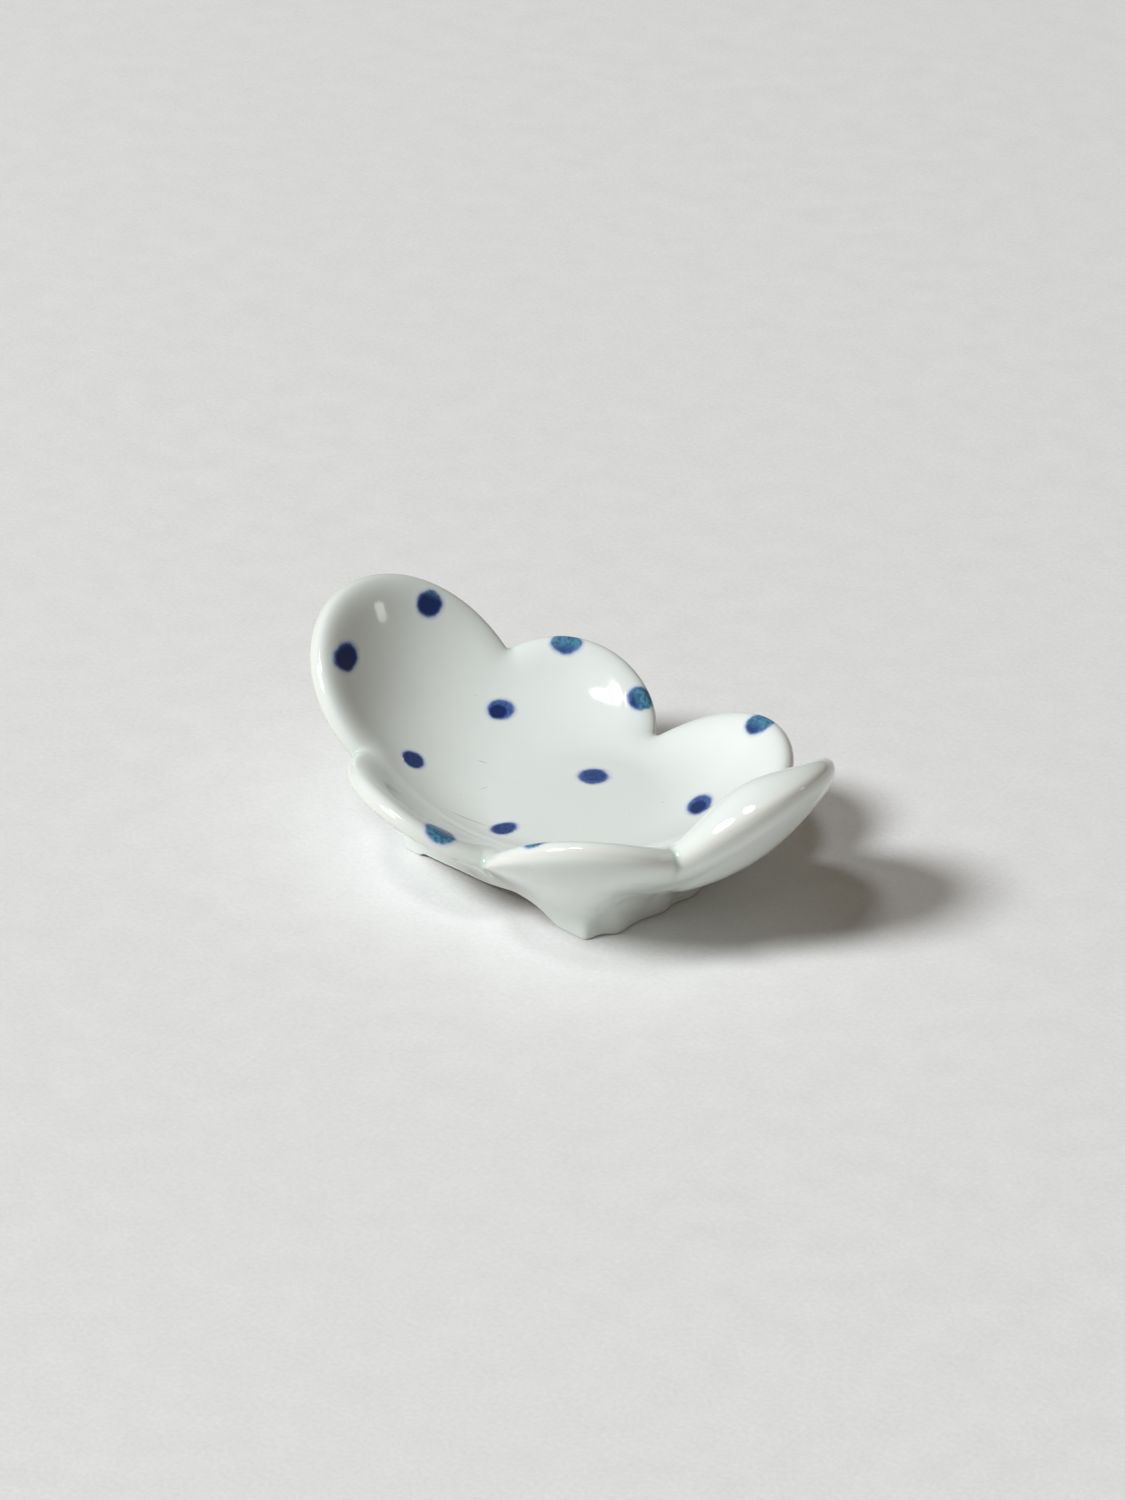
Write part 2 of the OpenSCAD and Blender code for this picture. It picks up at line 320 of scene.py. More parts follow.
# the underside, from the rim at u = 0 to the flare at u = 1
@lru_cache(None)
def underPoint(t, u):
    r = rimReach(t, flower["half"] + flower["rimOutside"])
    below = min(flareFrom(t), r - flower["leastUnder"])
    offCorners = math.cos(2 * (t - foot["turn"])) ** 2
    full = flower["cornerBelly"] + (flower["belly"] - flower["cornerBelly"]) * offCorners
    thick = flower["half"] + full * smooth(*flower["bellyGrows"], r - below) * smooth(0, 1, u)
    out, z = wallPoint(t, r + (below - r) * u, -thick)
    return out, max(z, foot["height"] + flower["ledge"])


# the flare: tangent to the underside above, upright on the ground, its ridges fading upwards
@lru_cache(None)
def flareReach(t, z):
    out, top = underPoint(t, 1)
    w = z / top
    r = ridgeReach(t, z)
    steep = math.tan(max(slope(t, flareFrom(t)), flower["flareSlope"]))
    pull = min(top / steep / max(out - r, flower["leastUnder"]), flower["flarePull"])
    return r + (out - r) * w * w * (3 - pull + (pull - 2) * w)


# how far the wall at the sides stands out from the foot at height z,
# in one sweep up to the widest line of the rim
@lru_cache(None)
def standOut(t, z):
    wide, top = rimWidest(t)
    corner = smooth(*foot["cornerHeights"], top)
    atWaist, atRight, atLeft = foot["skirtHollow"]
    atCorner = atRight + (atLeft - atRight) * smooth(0, foot["leftFrom"], -math.cos(t))
    hollow = atWaist + (atCorner - atWaist) * corner
    atWaist, atCorner = foot["skirtRound"]
    rounding = atWaist + (atCorner - atWaist) * corner
    return (wide - ridgeReach(t, z)) * (1 - (1 - min(z / top, 1)) ** rounding) ** hollow


# distance out of that wall, with the notches fading out further down
@lru_cache(None)
def sweepReach(t, z):
    fade = foot["notchFade"]
    here = math.degrees(t)
    total = weights = 0.0
    for k in range(math.floor(here - fade) + 1, math.floor(here + fade) + 1):
        weight = fade - abs(here - k)
        total += weight * standOut(math.radians(k), z)
        weights += weight
    sharp = standOut(t, z)
    spread = 1 - smooth(foot["notchKept"], 1, z / rimWidest(t)[1])
    return ridgeReach(t, z) + sharp + (total / weights - sharp) * spread


# a point of the outside, moved to that wall at the sides
def outerReach(t, out, z):
    return out + asideOf(t, z) * (sweepReach(t, z) - out) if z < rimWidest(t)[1] else out


# a point of the dish at a share of the way through one kind of station: distance out and height
def dishPoint(kind, share, t):
    if kind == "inside":
        s = (math.sqrt(1 + 24 * share) - 1) / 4  # 0 to 1, with the rings closer at the rim
        r = s * (flower["waist"][2] * (1 - s) + rimReach(t, flower["half"] + flower["rimInside"]) * s)
        return wallPoint(t, r, flower["half"])
    if kind == "rim":
        depth, h = rimShape(math.pi * share)
        out, z = wallPoint(t, rimReach(t, depth), h)
        return (outerReach(t, out, z) if share > 0.5 else out), z
    if kind == "seat":
        return outerReach(t, flareReach(t, foot["height"]), foot["height"]) * (1 - share), foot["height"]
    start, top = underPoint(t, 0)[1], underPoint(t, 1)[1]
    rings = flower["outsideRings"] + flower["flareRings"]
    if kind == "outside":
        out, z = underPoint(t, share)
        done = share * flower["outsideRings"] / rings
    else:
        z = top + (foot["height"] - top) * share
        out = flareReach(t, z)
        done = (flower["outsideRings"] + share * flower["flareRings"]) / rings
    z += asideOf(t, z) * (start + (foot["height"] - start) * done - z)
    return outerReach(t, out, z), z


# height of the arch: a step at the left, then a slow rise and a long run out at the right
def archLift(x):
    u = min(max((x - foot["archShift"]) / foot["archWidth"] + 0.5, 0), 1)
    rise = foot["archLow"] + foot["archRise"] * u ** foot["archBend"]
    return rise * smooth(0, foot["archStep"], u) * (1 - smooth(foot["archRunOut"], 1, u))


# a point of the foot, in the same way as one of the dish
def footPoint(kind, share, t):
    inner = footReach(t, foot["ridgeSoft"]) - foot["wall"]
    edge = foot["edge"]
    w = math.pi / 2 * share
    lift = 0.0
    for again in range(foot["archRounds"]):  # the arch lifts a point by where it is, and moves it a little
        room = (foot["height"] - lift) / foot["height"]
        if kind == "outer":
            z = lift + (foot["height"] + (edge - foot["height"]) * share) * room
            out = outerReach(t, flareReach(t, z), z)
        elif kind == "outerEdge":
            z = lift + edge * (1 - math.sin(w)) * room
            start = lift + edge * room
            out = outerReach(t, flareReach(t, start), start) - edge * (1 - math.cos(w))
        elif kind == "innerEdge":
            z = lift + edge * (1 - math.cos(w)) * room
            out = inner + edge * (1 - math.sin(w))
        else:
            z = lift + (edge + (foot["height"] - edge) * share) * room
            out = inner
        lift = archLift(out * math.cos(t - foot["turn"]))
    return out, z


# how the glaze ran, and painted shade on the rim's outer side; sizes in mm
run = {
    "poolWidth": 0.35,
    "poolInside": 1.0,  # how far a pool reaches from the tip of its notch
    "poolOutside": 2.2,
    "thinGlazeAndShade": 0.2,  # how much of the clay, and of the painted shade on the rim's outer side, shows at most
    "thinGlazeAndShadeAt": 0.6,  # share of the way over the rim
    "thinGlazeAndShadeWidth": 0.1,
}


# glaze pools in the notches and runs a little way down the outside from them
def poolAt(kind, share, t, out, z):
    notch = min(notches, key=lambda n: apart(t, n))
    tipOut, tipZ = wallPoint(notch, rimReach(notch, 0.0), 0)
    within = kind == "inside" or kind == "rim" and share < 0.5
    side = out * apart(t, notch) / run["poolWidth"]
    down = math.hypot(out - tipOut, z - tipZ) / run["poolInside" if within else "poolOutside"]
    return math.exp(-side * side - down * down)


# glaze draws back from the outer edge of the rim and shows the clay through; the same warm band is also
# painted shade of the rim's outer side
def thinGlazeAndShadeAt(kind, share):
    off = (share - run["thinGlazeAndShadeAt"]) / run["thinGlazeAndShadeWidth"]
    return run["thinGlazeAndShade"] * math.exp(-off ** 2) if kind == "rim" else 0.0


# the standing rim is wiped bare
def bareAt(kind, share):
    return 1.0 if kind == "innerEdge" else share ** 3 if kind == "outerEdge" else 0.0


def steps(kind, count, first=1):
    return [(kind, i / count) for i in range(first, count + 1)]


# spins a round blank with one ring per station, then moves each point to its place
def spunPiece(stations, closed, place):
    bm = bmesh.new()
    station = bm.verts.layers.int.new("station")
    pool = bm.verts.layers.float.new("pool")
    thinGlazeAndShade = bm.verts.layers.float.new("thinGlazeAndShade")
    bare = bm.verts.layers.float.new("bare")
    rays = petalCount * flower["raysPerPetal"]
    line = [bm.verts.new((1, 0, i)) for i in range(len(stations))]
    for i, v in enumerate(line):
        v[station] = i
    pairs = list(zip(line, line[1:])) + ([(line[-1], line[0])] if closed else [])
    edges = [bm.edges.new(pair) for pair in pairs]
    bmesh.ops.spin(bm, geom=line + edges, cent=(0, 0, 0), axis=(0, 0, 1), dvec=(0, 0, 0),
                   angle=math.tau, steps=rays, use_merge=True)
    angles = [rayAngle(k) for k in range(rays)]
    for v in bm.verts:
        kind, share = stations[v[station]]
        t = angles[round(math.atan2(v.co.y, v.co.x) / math.tau * rays) % rays]
        out, z = place(kind, share, t)
        v[pool] = poolAt(kind, share, t, out, z)
        # painted shade: the warm band on the rim's outer side stands partly for its shade, partly for thin
        # glaze
        v[thinGlazeAndShade] = thinGlazeAndShadeAt(kind, share)
        v[bare] = bareAt(kind, share)
        v.co = Vector((out * math.cos(t), out * math.sin(t), z)) * mm
    bm.verts.layers.int.remove(station)
    bmesh.ops.remove_doubles(bm, verts=bm.verts, dist=mergeRoom)
    bmesh.ops.dissolve_degenerate(bm, edges=bm.edges, dist=mergeRoom)
    bmesh.ops.recalc_face_normals(bm, faces=bm.faces)
    return bm


def finishedPiece(name, bm, sharpOver=30):
    mesh = bpy.data.meshes.new(name)
    bm.to_mesh(mesh)
    bm.free()
    mesh.shade_smooth()
    mesh.set_sharp_from_angle(angle=math.radians(sharpOver))
    piece = bpy.data.objects.new(name, mesh)
    bpy.context.scene.collection.objects.link(piece)
    return piece


dishStations = (
    steps("inside", flower["insideRings"], 0)
    + steps("rim", flower["rimRings"])
    + steps("outside", flower["outsideRings"])
    + steps("flare", flower["flareRings"])
    + steps("seat", flower["seatRings"])
)
dish = finishedPiece("flowerDish", spunPiece(dishStations, False, dishPoint), flower["sharpOver"])
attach(dish, "root")
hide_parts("dish")
print("dish spun and curled:", len(dish.data.polygons), "faces")

footStations = (
    steps("outer", foot["wallRings"], 0)
    + steps("outerEdge", foot["edgeRings"])
    + steps("innerEdge", foot["edgeRings"], 0)
    + steps("inner", foot["innerRings"])
)
ring = finishedPiece("archedFoot", spunPiece(footStations, True, footPoint), foot["sharpOver"])
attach(ring, "root")
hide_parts("foot_ring")
print("foot spun and arched:", len(ring.data.polygons), "faces")

# cobalt dots under the glaze; all sizes in mm, angles in degrees
brush = {
    "reach": 1.5,  # size of the patch of glaze that carries a dot, in radii of its wash
    "proud": 0.024,
    "dip": 2,  # how many times that the patch falls towards its edge, and how suddenly
    "dipPower": 4,
    "deep": 0.12,
    "rings": 14,
    "underRings": 4,
    "sides": 48,
    "merge": 1e-5,  # in radii of the wash
    "overRim": (-0.4, 1.2),  # distances past the outline between which the pigment thins
    # direction and share of the way to the outline, radii of the wash outwards and sideways,
    # then the darker dab: its shift outwards and anticlockwise and its radius, all in radii of the wash,
    # and how much pigment it holds
    "dots": {
        "dot_left_end_back": (162.3, 0.968, 1.45, 1.55, 0.0, 0.0, 0.95, 1.0),
        "dot_left_end_front": (191.8, 0.934, 1.5, 2.3, -0.05, 0.0, 0.93, 1.0),
        "dot_left_floor_back": (153.9, 0.606, 1.35, 1.5, -0.12, 0.22, 0.72, 1.0),
        "dot_left_floor_front": (202.3, 0.626, 1.3, 1.4, 0.0, 0.0, 0.95, 0.75),
        "dot_middle_back": (101.1, 0.3, 1.5, 1.5, 0.1, 0.0, 0.8, 0.45),
        "dot_middle_front": (258.8, 0.487, 1.5, 1.1, 0.0, 0.0, 0.9, 0.5),
        "dot_right_floor_back": (26.7, 0.663, 1.35, 1.95, -0.05, -0.2, 0.72, 0.9),
        "dot_right_floor_front": (329, 0.6, 1.4, 1.5, 0.1, 0.1, 0.75, 0.8),
        "dot_right_end_back": (16, 0.86, 1.4, 1.5, 0.0, -0.1, 0.8, 0.8),
        "dot_right_end_front": (344, 0.86, 1.4, 1.5, 0.1, 0.0, 0.8, 0.85),
        "dot_rim_back_left": (128.9, 1.039, 1.4, 1.55, -0.1, 0.1, 0.7, 0.7),
        "dot_rim_back_middle": (103.1, 1.07, 1.5, 1.3, -0.2, 0.0, 0.7, 0.7),
        "dot_rim_back_right": (56.5, 1.035, 1.6, 1.6, -0.3, 0.0, 0.7, 0.7),
        "dot_rim_front_left": (259.4, 1.03, 1.65, 1.6, -0.3, 0.0, 0.7, 0.7),
        "dot_rim_front_right": (299, 1.03, 1.4, 1.5, 0.0, 0.0, 0.7, 0.7),
    },
}

# distance over the rim's skin at each step of its section
rimSection = [rimShape(math.pi * i / flower["rimSteps"]) for i in range(flower["rimSteps"] + 1)]
rimWalk = [(0.0, rimSection[0])]
for here in rimSection[1:]:
    rimWalk.append((rimWalk[-1][0] + math.dist(here, rimWalk[-1][1]), here))


# depth and offset after walking g over the rim, raised off the skin by lift
def rimWalked(g, lift):
    for (ga, a), (gb, b) in zip(rimWalk, rimWalk[1:]):
        if g <= gb or gb == rimWalk[-1][0]:
            share = (g - ga) / (gb - ga)
            dx, dy = (b[0] - a[0]) / (gb - ga), (b[1] - a[1]) / (gb - ga)
            return a[0] + (b[0] - a[0]) * share + dy * lift, a[1] + (b[1] - a[1]) * share - dx * lift


# point p of the glazed skin laid flat: past the outline it runs over the rim
def skinPoint(p, lift):
    t = math.atan2(p.y, p.x)
    h = flower["half"] + lift
    x, y, r = min(flower["petals"], key=lambda q: math.hypot(p.x - q[0], p.y - q[1]) - q[2])
    away = p - Vector((x, y))
    past = away.length - r + flower["rimInside"]
    if past > 0 and p.length > flower["waist"][2]:
        depth, h = rimWalked(past, lift)
        p = Vector((x, y)) + away.normalized() * (r + flower["half"] - depth)
        t = math.atan2(p.y, p.x)
    out, z = wallPoint(t, p.length, h)
    return Vector((out * math.cos(t), out * math.sin(t), z)) * mm


def brushedDot(name, direction, share, washOut, washSide, dabOut, dabSide, dabRadius, load):
    bm = bmesh.new()
    reach, rings = brush["reach"], brush["rings"]
    # the patch dips under the glaze at its edge, so that no step shows
    falls = [1 - brush["dip"] * (i / rings) ** brush["dipPower"] for i in range(rings + 1)]
    top = [bm.verts.new((reach * i / rings, 0, brush["proud"] * fall)) for i, fall in enumerate(falls)]
    count = brush["underRings"]
    under = [bm.verts.new((reach * i / count, 0, -brush["deep"])) for i in range(count, -1, -1)]
    line = top + under
    edges = [bm.edges.new(pair) for pair in zip(line, line[1:])]
    bmesh.ops.spin(bm, geom=line + edges, cent=(0, 0, 0), axis=(0, 0, 1), dvec=(0, 0, 0),
                   angle=math.tau, steps=brush["sides"], use_merge=True)
    bmesh.ops.remove_doubles(bm, verts=bm.verts, dist=brush["merge"])
    bmesh.ops.recalc_face_normals(bm, faces=bm.faces)
    t = math.radians(direction)
    ahead = Vector((math.cos(t), math.sin(t)))
    aside = Vector((-ahead.y, ahead.x))
    s = share * outline(t)
    spread = s / wallPoint(t, min(s, outline(t)), 0)[0]
    wash = bm.loops.layers.uv.new("wash")
    dab = bm.loops.layers.uv.new("dab")
    pigment = bm.verts.layers.float.new("pigment")
    overRim = bm.verts.layers.float.new("overRim")
    for face in bm.faces:
        for loop in face.loops:
            flat = loop.vert.co.xy
            loop[wash].uv = flat
            loop[dab].uv = (flat - Vector((dabOut, dabSide))) / dabRadius
    for v in bm.verts:
        x, y = v.co.x * washOut, v.co.y * washSide
        p = ahead * (s + x) + aside * y * spread
        v[pigment] = load
        v[overRim] = smooth(*brush["overRim"], p.length - outline(math.atan2(p.y, p.x)))
        v.co = skinPoint(p, v.co.z)
    dot = finishedPiece("brushed_" + name, bm)
    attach(dot, "root")
    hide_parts(name)
    return dot


dots = [brushedDot(name, *settings) for name, settings in brush["dots"].items()]
print("dots brushed on:", len(dots))


def linear(hexColour):
    parts = [int(hexColour[i:i + 2], 16) / 255 for i in (1, 3, 5)]
    return [c / 12.92 if c <= 0.04045 else ((c + 0.055) / 1.055) ** 2.4 for c in parts] + [1.0]


# adds one node, with its settings and what feeds it
def addNode(tree, kind, settings=None, links=None):
    node = tree.nodes.new(kind)
    for key, value in (settings or {}).items():
        if isinstance(key, int) or key in node.inputs:
            node.inputs[key].default_value = value
        else:
            setattr(node, key, value)
    for key, source in (links or {}).items():
        tree.links.new(source, node.inputs[key])
    return node


def newMaterial(name):
    material = bpy.data.materials.new(name)
    material.use_nodes = True
    material.node_tree.nodes.clear()
    return material, material.node_tree


# scale of a pattern from its real size in mm
def patternScale(size):
    return 1 / (size * mm)


mixFrom, mixTo, mixOut = 6, 7, 2  # sockets of a colour mix
lowIn, highIn, lowOut, highOut = 1, 2, 3, 4  # sockets of a map range

# clear glaze fired on white porcelain; sizes in mm
glaze = {
    "body": "#eef3ef",
    "cloud": "#e5ece7",  # where it lies thicker
    "cloudSize": 7.0,
    "pool": "#bfd4c8",  # where it gathered
    "thinGlazeAndShade": "#d8c8ae",  # where it drew back from an edge, and painted shade on the rim's outer side
    "speck": "#bdb6a6",  # iron in the clay
    "speckSpacing": 3.4,
    "speckSize": 0.05,  # in spacings
    "speckShare": 0.5,
    "darkLine": "#a3aca5",
    "darkLineDepth": 1.2,  # half height of the space that a darker line may take up
    "darkLineFade": (1.0, 0.3),  # where it begins to show and is full, in half widths
    "darkLineShare": 0.55,
    # darker grey lines inside the dish: middle, angle in degrees, half length and half width
    "darkLines": [
        ((-5.2, -9.25, 6.2), 10, 3.0, 0.16),
        ((-10.7, 0.0, 6.15), 20, 0.7, 0.1),
        ((-7.75, -3.5, 5.95), 78, 0.7, 0.08),
    ],
    "rippleSize": 3.8,
    "rippleRange": (0.3, 0.7),  # lowest and highest of the ripple
    "peelSize": 0.45,  # finer in life, drawn as coarse as it needs to show
    "peel": 0.12,  # share of the ripple
    "bump": 0.25,
    "bumpHeight": 0.1,
    "roughness": (0.07, 0.12),
    "ior": 1.5,
    "biscuit": "#d9d0c2",  # bare clay on the standing rim
    "biscuitRoughness": 0.6,
}


# white clay seen through clear glaze: a faint cool cast, cloudy, greener where it pooled,
# warmer where it drew back and in painted shade on the rim's outer side, with a few pale specks and darker
# lines
def glazeColour(tree, place):
    cloud = addNode(tree, "ShaderNodeTexNoise", {"Scale": patternScale(glaze["cloudSize"]), "Detail": 3.0},
                    {"Vector": place})
    colour = addNode(tree, "ShaderNodeMix",
                     {"data_type": "RGBA", mixFrom: linear(glaze["body"]), mixTo: linear(glaze["cloud"])},
                     {0: cloud.outputs["Fac"]})
    # pool is glaze that gathered; the rim's warm band is thin glaze together with painted shade of its
    # outer side
    for layer in ("pool", "thinGlazeAndShade"):
        share = addNode(tree, "ShaderNodeAttribute", {"attribute_name": layer})
        colour = addNode(tree, "ShaderNodeMix", {"data_type": "RGBA", mixTo: linear(glaze[layer])},
                         {0: share.outputs["Fac"], mixFrom: colour.outputs[mixOut]})
    speck = addNode(tree, "ShaderNodeTexVoronoi", {"Scale": patternScale(glaze["speckSpacing"])},
                    {"Vector": place})
    speck = addNode(tree, "ShaderNodeMapRange",
                    {lowIn: glaze["speckSize"], highIn: 0.0, lowOut: 0.0, highOut: glaze["speckShare"]},
                    {0: speck.outputs["Distance"]})
    colour = addNode(tree, "ShaderNodeMix", {"data_type": "RGBA", mixTo: linear(glaze["speck"])},
                     {0: speck.outputs[0], mixFrom: colour.outputs[mixOut]})
    faint, full = glaze["darkLineFade"]
    # darker grey lines painted inside the dish near the rim
    for middle, angle, length, width in glaze["darkLines"]:
        stroke = addNode(tree, "ShaderNodeMapping",
                         {"vector_type": "TEXTURE", "Location": Vector(middle) * mm,
                          "Rotation": (0, 0, math.radians(angle)),
                          "Scale": (length * mm, width * mm, glaze["darkLineDepth"] * mm)}, {"Vector": place})
        away = addNode(tree, "ShaderNodeVectorMath", {"operation": "LENGTH"}, {0: stroke.outputs["Vector"]})
        share = addNode(tree, "ShaderNodeMapRange",
                        {lowIn: faint, highIn: full, lowOut: 0.0, highOut: glaze["darkLineShare"]},
                        {0: away.outputs["Value"]})
        colour = addNode(tree, "ShaderNodeMix", {"data_type": "RGBA", mixTo: linear(glaze["darkLine"])},
                         {0: share.outputs[0], mixFrom: colour.outputs[mixOut]})
    return colour.outputs[mixOut]


# the skin of a glaze that ran in the kiln: glassy, with a slow ripple and a fine orange peel
# that breaks up the edges of its highlights
def glazeSkin(tree, place, colour, wiped=None):
    ripple = addNode(tree, "ShaderNodeTexNoise",
                     {"Scale": patternScale(glaze["rippleSize"]), "Detail": 2.0}, {"Vector": place})
    peel = addNode(tree, "ShaderNodeTexNoise", {"Scale": patternScale(glaze["peelSize"]), "Detail": 2.0},
                   {"Vector": place})
    height = addNode(tree, "ShaderNodeMath", {"operation": "MULTIPLY_ADD", 1: glaze["peel"]},
                     {0: peel.outputs["Fac"], 2: ripple.outputs["Fac"]})
    bump = addNode(tree, "ShaderNodeBump",
                   {"Strength": glaze["bump"], "Distance": glaze["bumpHeight"] * mm},
                   {"Height": height.outputs[0]})
    low, high = glaze["rippleRange"]
    smoothest, roughest = glaze["roughness"]
    rough = addNode(tree, "ShaderNodeMapRange",
                    {lowIn: low, highIn: high, lowOut: smoothest, highOut: roughest},
                    {0: ripple.outputs["Fac"]}).outputs[0]
    if wiped:
        rough = addNode(tree, "ShaderNodeMapRange", {highOut: glaze["biscuitRoughness"]},
                        {0: wiped, lowOut: rough}).outputs[0]
    shader = addNode(tree, "ShaderNodeBsdfPrincipled", {"IOR": glaze["ior"]},
                     {"Base Color": colour, "Roughness": rough, "Normal": bump.outputs["Normal"]})
    addNode(tree, "ShaderNodeOutputMaterial", None, {"Surface": shader.outputs["BSDF"]})


glazedPorcelain, tree = newMaterial("glazedPorcelain")
place = addNode(tree, "ShaderNodeTexCoord").outputs["Object"]
glazeSkin(tree, place, glazeColour(tree, place))
dish.data.materials.append(glazedPorcelain)

# the foot is glazed too, but was wiped bare where it stood in the kiln: a matt, warmer line
wipedPorcelain, tree = newMaterial("wipedPorcelain")
place = addNode(tree, "ShaderNodeTexCoord").outputs["Object"]
wiped = addNode(tree, "ShaderNodeAttribute", {"attribute_name": "bare"}).outputs["Fac"]
colour = addNode(tree, "ShaderNodeMix", {"data_type": "RGBA", mixTo: linear(glaze["biscuit"])},
                 {0: wiped, mixFrom: glazeColour(tree, place)})
glazeSkin(tree, place, colour.outputs[mixOut], wiped)
ring.data.materials.append(wipedPorcelain)

# cobalt brushed on the clay and glazed over: an inky blue wash with a soft edge that bled a little,
# darker where the brush was pressed, teal and mottled where it thinned over the rim; sizes in mm
cobalt = {
    "halo": "#a9bbdd",
    "wash": "#4363a6",
    "dab": "#1c3163",
    "teal": "#5590ae",
    "ink": "#1d4058",  # dark mottling in the teal
    "wobbleSize": 1.3,  # how the edge wanders
    "wobble": 0.3,
    "mottleSize": 0.4,
    # where each layer is full and where it has faded out, in radii of its stroke or levels of the mottling,
    # and how strong it is
    "fade": {
        "halo": (1.05, 1.5, 0.55),
        "wash": (0.93, 1.24, 0.96),
        "dab": (0.85, 1.2, 1.0),
        "pale": (0.4, 0.58, 0.4),
        "ink": (0.42, 0.52, 0.55),
    },
}
cobaltUnderGlaze, tree = newMaterial("cobaltUnderGlaze")
place = addNode(tree, "ShaderNodeTexCoord").outputs["Object"]
wobble = addNode(tree, "ShaderNodeTexNoise", {"Scale": patternScale(cobalt["wobbleSize"]), "Detail": 2.0},
                 {"Vector": place})
mottle = addNode(tree, "ShaderNodeTexNoise", {"Scale": patternScale(cobalt["mottleSize"]), "Detail": 4.0},
                 {"Vector": place})
sources = {"pale": mottle.outputs["Fac"], "ink": mottle.outputs["Fac"]}
for stroke in ("wash", "dab"):
    uv = addNode(tree, "ShaderNodeUVMap", {"uv_map": stroke})
    away = addNode(tree, "ShaderNodeVectorMath", {"operation": "LENGTH"}, {0: uv.outputs["UV"]})
    sources[stroke] = addNode(tree, "ShaderNodeMath", {"operation": "MULTIPLY_ADD", 1: cobalt["wobble"]},
                              {0: wobble.outputs["Fac"], 2: away.outputs["Value"]}).outputs[0]
sources["halo"] = sources["wash"]
# how much there is of each layer, and then of what two of them make together
amounts = {}
for layer in ("pigment", "overRim"):
    amounts[layer] = addNode(tree, "ShaderNodeAttribute", {"attribute_name": layer}).outputs["Fac"]
for layer, (inner, outer, strength) in cobalt["fade"].items():
    amounts[layer] = addNode(tree, "ShaderNodeMapRange",
                             {"interpolation_type": "SMOOTHSTEP",
                              lowIn: outer, highIn: inner, lowOut: 0.0, highOut: strength},
                             {0: sources[layer]}).outputs[0]
for both, one, other in (("pressed", "dab", "pigment"), ("mottled", "wash", "pale"),
                         ("thinned", "wash", "overRim"), ("inked", "thinned", "ink")):
    amounts[both] = addNode(tree, "ShaderNodeMath", {"operation": "MULTIPLY"},
                            {0: amounts[one], 1: amounts[other]}).outputs[0]
colour = glazeColour(tree, place)
for layer, ink in (("halo", "halo"), ("wash", "wash"), ("mottled", "dab"), ("pressed", "dab"),
                   ("thinned", "teal"), ("inked", "ink")):
    colour = addNode(tree, "ShaderNodeMix", {"data_type": "RGBA", mixTo: linear(cobalt[ink])},
                     {0: amounts[layer], mixFrom: colour}).outputs[mixOut]
glazeSkin(tree, place, colour)
for dot in dots:
    dot.data.materials.append(cobaltUnderGlaze)
print("materials made")

# pale uncoated paper to stand on: matt, with fine fibres and a faint cloudiness; sizes in mm
paper = {
    "pale": "#efefee",
    "dark": "#e2e2e1",
    "fibreSize": 0.45,
    "cloudSize": 4.0,
    "fibreShare": 1.6,  # of the fibres against the cloudiness
    "range": (0.7, 1.9),  # lowest and highest of the two together
    "bump": 0.15,
    "bumpHeight": 0.1,
    "roughness": 0.9,
    "halfWidth": 1500,
}
bm = bmesh.new()
bmesh.ops.create_grid(bm, x_segments=1, y_segments=1, size=paper["halfWidth"] * mm)
floor = finishedPiece("paperFloor", bm)
uncoatedPaper, tree = newMaterial("uncoatedPaper")
place = addNode(tree, "ShaderNodeTexCoord").outputs["Object"]
fibre = addNode(tree, "ShaderNodeTexNoise", {"Scale": patternScale(paper["fibreSize"]), "Detail": 3.0},
                {"Vector": place})
cloud = addNode(tree, "ShaderNodeTexNoise", {"Scale": patternScale(paper["cloudSize"]), "Detail": 3.0},
                {"Vector": place})
share = addNode(tree, "ShaderNodeMath", {"operation": "MULTIPLY_ADD", 1: paper["fibreShare"]},
                {0: fibre.outputs["Fac"], 2: cloud.outputs["Fac"]})
low, high = paper["range"]
share = addNode(tree, "ShaderNodeMapRange", {lowIn: low, highIn: high}, {0: share.outputs[0]})
colour = addNode(tree, "ShaderNodeMix",
                 {"data_type": "RGBA", mixFrom: linear(paper["dark"]), mixTo: linear(paper["pale"])},
                 {0: share.outputs[0]})
bump = addNode(tree, "ShaderNodeBump", {"Strength": paper["bump"], "Distance": paper["bumpHeight"] * mm},
               {"Height": fibre.outputs["Fac"]})
shader = addNode(tree, "ShaderNodeBsdfPrincipled", {"Roughness": paper["roughness"]},
                 {"Base Color": colour.outputs[mixOut], "Normal": bump.outputs["Normal"]})
addNode(tree, "ShaderNodeOutputMaterial", None, {"Surface": shader.outputs["BSDF"]})
floor.data.materials.append(uncoatedPaper)

# camera at the photograph's angle; lengths in metres, angles in degrees
view = {
    "azimuth": 37.32,
    "elevation": 30.48,
    "aim": (0, 0, 0.0048),
    "distance": 0.5,
    "lens": 127.4,
    "shift": (-0.0063, 0.0391),
}
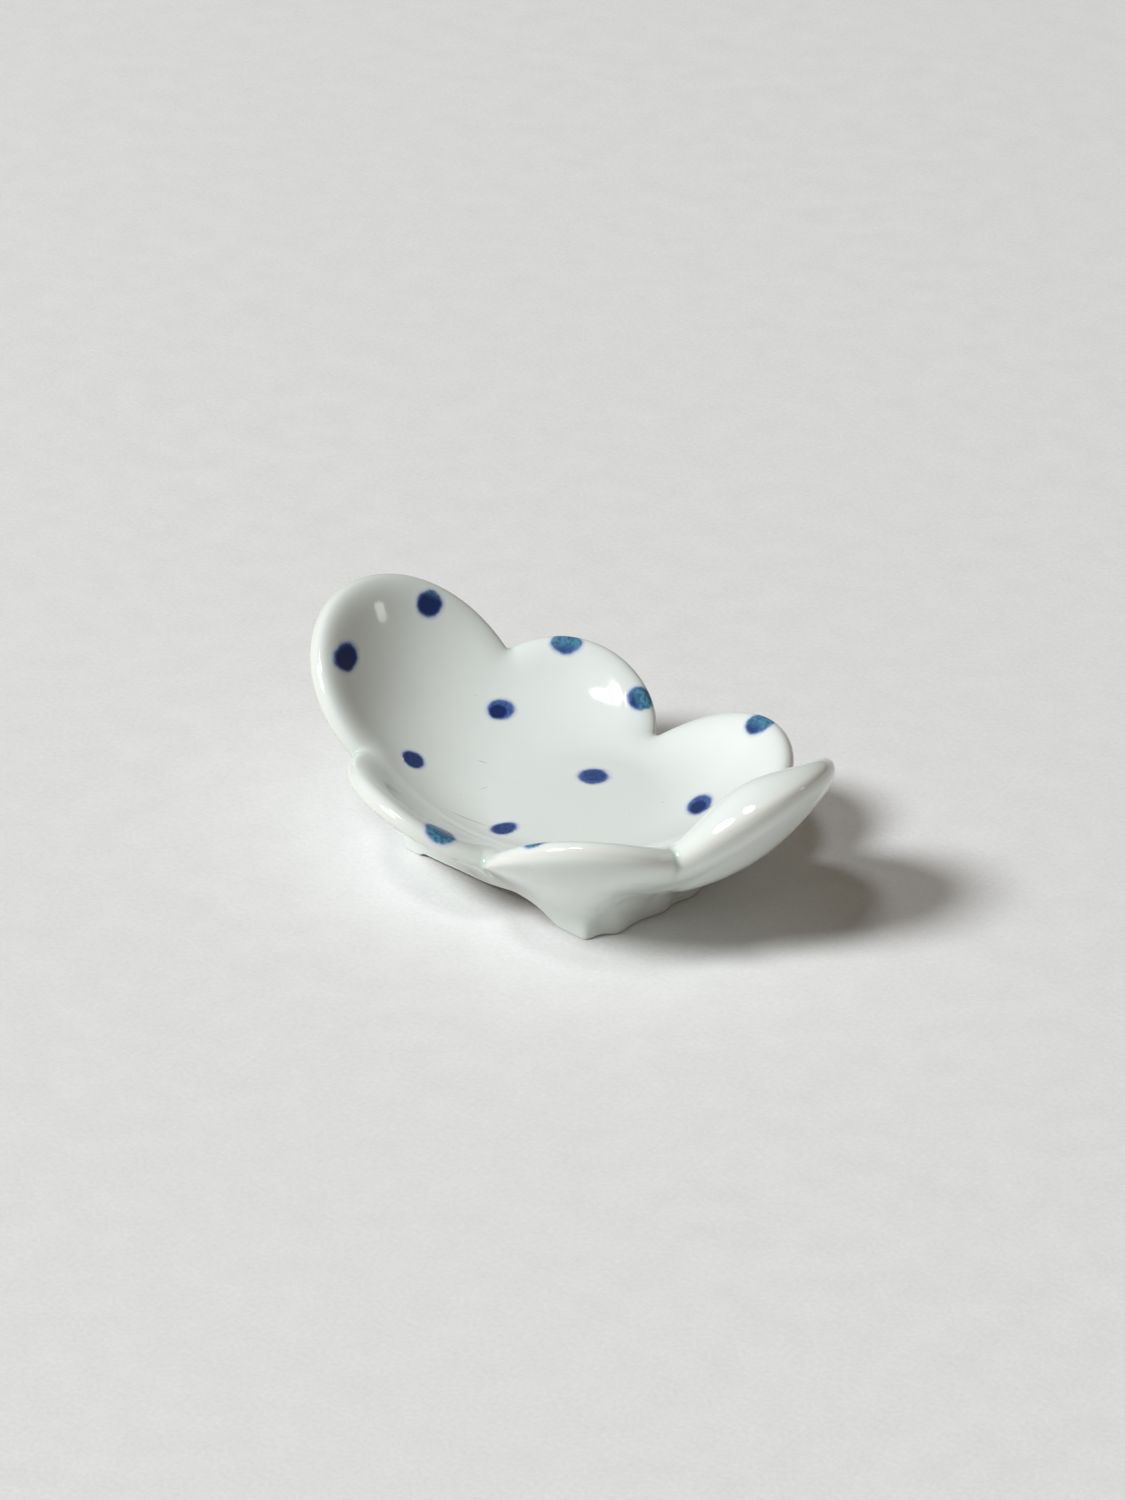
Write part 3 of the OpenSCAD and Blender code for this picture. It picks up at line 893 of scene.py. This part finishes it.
# soft light from the front left, as from a window and the sky above it, and a faint far window behind
lamps = {
    "window": {"from": (-31, 46), "distance": 3.0, "size": (0.95, 0.95), "power": 79,
               "colour": "#f9fcff"},
    "skylight": {"from": (-27, 71), "distance": 3.0, "size": (0.75, 0.55), "power": 15,
                 "colour": "#f9fcff"},
    "farWindow": {"from": (121, 12), "distance": 1.6, "size": (0.2, 0.2), "power": 0.5,
                  "colour": "#ffffff"},
}
room = {"colour": "#ffe9cf", "strength": 0.12, "backdrop": "#d6d6d5"}


def towards(azimuth, elevation):
    a, e = math.radians(azimuth), math.radians(elevation)
    return Vector((math.sin(a) * math.cos(e), -math.cos(a) * math.cos(e), math.sin(e)))


def setUp(name, data, azimuth, elevation, distance, aim):
    thing = bpy.data.objects.new(name, data)
    back = towards(azimuth, elevation)
    thing.location = Vector(aim) + back * distance
    thing.rotation_euler = back.to_track_quat("Z", "Y").to_euler()
    bpy.context.scene.collection.objects.link(thing)
    return thing


lens = bpy.data.cameras.new("camera")
lens.lens = view["lens"]
lens.shift_x, lens.shift_y = view["shift"]
camera = setUp("camera", lens, view["azimuth"], view["elevation"], view["distance"], view["aim"])
bpy.context.scene.camera = camera

for name, lamp in lamps.items():
    light = bpy.data.lights.new(name, "AREA")
    light.shape = "ELLIPSE"
    light.size, light.size_y = lamp["size"]
    light.energy = lamp["power"]
    light.color = linear(lamp["colour"])[:3]
    setUp(name, light, *lamp["from"], lamp["distance"], (0, 0, 0))

# the room gives a little warm light; only the camera sees it as a pale backdrop
world = bpy.data.worlds.new("room")
world.use_nodes = True
tree = world.node_tree
tree.nodes.clear()
fill = addNode(tree, "ShaderNodeBackground",
               {"Color": linear(room["colour"]), "Strength": room["strength"]})
seen = addNode(tree, "ShaderNodeBackground", {"Color": linear(room["backdrop"]), "Strength": 1.0})
ray = addNode(tree, "ShaderNodeLightPath")
both = addNode(tree, "ShaderNodeMixShader", None,
               {0: ray.outputs["Is Camera Ray"], 1: fill.outputs[0], 2: seen.outputs[0]})
addNode(tree, "ShaderNodeOutputWorld", None, {"Surface": both.outputs[0]})
bpy.context.scene.world = world
bpy.context.scene.view_settings.view_transform = "Standard"
print("camera and light set")
